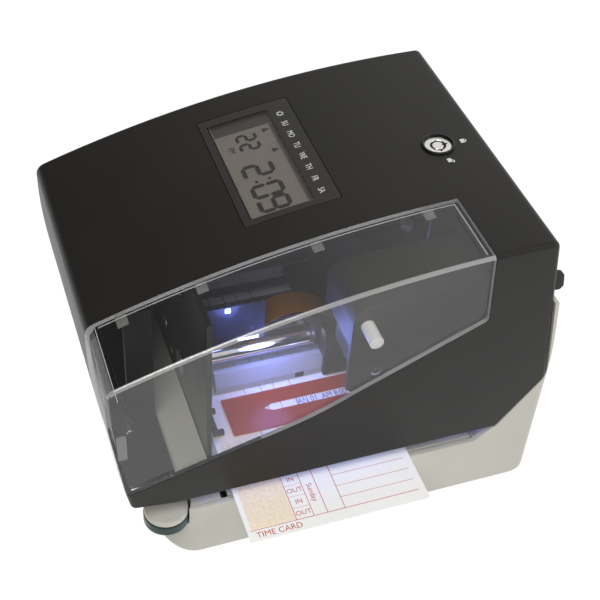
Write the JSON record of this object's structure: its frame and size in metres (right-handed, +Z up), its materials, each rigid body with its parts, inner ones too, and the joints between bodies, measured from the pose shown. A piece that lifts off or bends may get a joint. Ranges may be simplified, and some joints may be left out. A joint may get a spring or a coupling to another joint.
{
  "type": "punch time clock",
  "caption": "Desktop time clock that prints on a card in its front slot, with a hinged black cover, clear print window, display, key lock and grey base.",
  "frame": {"origin": "centre of the whole clock's box, on the surface that its feet stand on", "axes": "-Y is the side with the card slot, -X the low side that the display is read from, +Z up"},
  "size_m": [0.2066, 0.1764, 0.1582],
  "materials": {
    "black_shell": "fine moulded texture, satin",
    "grey_shell": "fine moulded texture, satin",
    "black_part": "smooth moulded",
    "grey_part": "smooth moulded",
    "clear_plastic": "polished, clear",
    "smoked_plastic": "polished, smoked",
    "lcd": "grey liquid crystal panel",
    "red_film": "transparent film",
    "teal_lens": "polished",
    "chrome_steel": "polished",
    "zinc_steel": "zinc plated",
    "rubber": "matte",
    "nylon": "natural white nylon",
    "circuit_board": "solder mask",
    "card_paper": "uncoated card",
    "amber_flex": "polyimide film"
  },
  "bodies": {
    "base": {"base_tray": "grey_shell", "foot_1": "rubber", "foot_2": "rubber", "foot_3": "rubber", "foot_4": "rubber", "corner_lens": "teal_lens", "corner_cap": "grey_shell", "hinge_bracket": "black_part", "hinge_rod": "chrome_steel", "card_platen": "grey_shell", "red_card_guide": "red_film", "film_clip": "black_part", "ribbon_mask": "nylon", "chassis_left": "black_part", "chassis_right": "zinc_steel", "carriage_shaft": "chrome_steel", "rear_rail": "chrome_steel", "feed_motor": "zinc_steel", "carriage_belt": "rubber", "carriage_motor": "zinc_steel", "idler_bracket": "zinc_steel", "ribbon_cassette": "grey_part", "lamp_board": "black_part", "flex_cable": "amber_flex", "setting_panel": "grey_part", "lock_keeper": "zinc_steel", "main_board": "circuit_board", "backup_battery": "black_part", "buzzer": "black_part", "power_inlet": "black_part"},
    "cover": {"top_cover": "black_shell", "print_window": "clear_plastic", "display_lens": "smoked_plastic", "lcd_glass": "lcd", "lcd_board": "circuit_board", "lock_body": "black_part", "lock_nut": "zinc_steel"},
    "lock_plug": {"lock_cylinder": "chrome_steel", "lock_cam": "zinc_steel"},
    "carriage": {"carriage_block": "grey_part", "print_head": "black_part"},
    "drive_pulley": {"drive_pulley": "black_part"},
    "idler_pulley": {"idler_pulley": "black_part"},
    "card": {"time_card": "card_paper"},
    "feed_axle": {"feed_shaft": "chrome_steel", "feed_roller_left": "rubber", "feed_roller_right": "rubber", "feed_gear": "nylon"},
    "pinch_axle": {"pinch_shaft": "chrome_steel", "pinch_roller_left": "nylon", "pinch_roller_right": "nylon"},
    "pinion": {"feed_pinion": "zinc_steel"},
    "ribbon_feed": {"ribbon_knob": "nylon", "ribbon_roller": "rubber"},
    "button_1": {"set_button_1": "nylon"},
    "button_2": {"set_button_2": "nylon"},
    "button_3": {"set_button_3": "nylon"},
    "button_4": {"set_button_4": "nylon"}
  },
  "joints": [
    {"name": "cover_hinge", "type": "hinge", "parent": "base", "child": "cover", "pos_m": [-0.08693, 0, 0.049], "axis": [0, -1, 0], "range_deg": [0, 70]},
    {"name": "lock_turn", "type": "hinge", "parent": "cover", "child": "lock_plug", "pos_m": [0.06737, 0.013, 0.15704], "axis": [-0.0405, 0, 0.9992], "range_deg": [-90, 0]},
    {"name": "carriage_slide", "type": "slide", "parent": "base", "child": "carriage", "axis": [-1, 0, 0], "range_m": [0, 0.052]},
    {"name": "drive_pulley_spin", "type": "hinge", "parent": "base", "child": "drive_pulley", "pos_m": [-0.04393, 0.0515, 0.047], "axis": [0, 1, 0], "range_deg": [-600, 0]},
    {"name": "idler_pulley_spin", "type": "hinge", "parent": "base", "child": "idler_pulley", "pos_m": [0.03007, 0.0515, 0.047], "axis": [0, 1, 0], "range_deg": [-600, 0]},
    {"name": "card_slide", "type": "slide", "parent": "base", "child": "card", "axis": [0, -1, 0], "range_m": [0, 0.145]},
    {"name": "feed_spin", "type": "hinge", "parent": "base", "child": "feed_axle", "pos_m": [0, 0.029, 0.03], "axis": [1, 0, 0], "range_deg": [0, 1390]},
    {"name": "pinch_spin", "type": "hinge", "parent": "base", "child": "pinch_axle", "pos_m": [0, 0.029, 0.0424], "axis": [1, 0, 0], "range_deg": [-1670, 0]},
    {"name": "pinion_spin", "type": "hinge", "parent": "base", "child": "pinion", "pos_m": [0, 0.029, 0.01545], "axis": [1, 0, 0], "range_deg": [-4160, 0]},
    {"name": "ribbon_knob_spin", "type": "hinge", "parent": "base", "child": "ribbon_feed", "pos_m": [0.01707, -0.04, 0.108], "axis": [0, -1, 0], "continuous": true},
    {"name": "button_1_press", "type": "slide", "parent": "base", "child": "button_1", "axis": [0, 0, -1], "range_m": [0, 0.0015], "stiffness_N_per_m": 300},
    {"name": "button_2_press", "type": "slide", "parent": "base", "child": "button_2", "axis": [0, 0, -1], "range_m": [0, 0.0015], "stiffness_N_per_m": 300},
    {"name": "button_3_press", "type": "slide", "parent": "base", "child": "button_3", "axis": [0, 0, -1], "range_m": [0, 0.0015], "stiffness_N_per_m": 300},
    {"name": "button_4_press", "type": "slide", "parent": "base", "child": "button_4", "axis": [0, 0, -1], "range_m": [0, 0.0015], "stiffness_N_per_m": 300}
  ],
  "couplings": [
    {"joint": "drive_pulley_spin", "follows": "carriage_slide", "rad_per_m": -200},
    {"joint": "idler_pulley_spin", "follows": "carriage_slide", "rad_per_m": -200},
    {"joint": "feed_spin", "follows": "card_slide", "rad_per_m": 166.67},
    {"joint": "pinch_spin", "follows": "card_slide", "rad_per_m": -200},
    {"joint": "pinion_spin", "follows": "card_slide", "rad_per_m": -500}
  ]
}
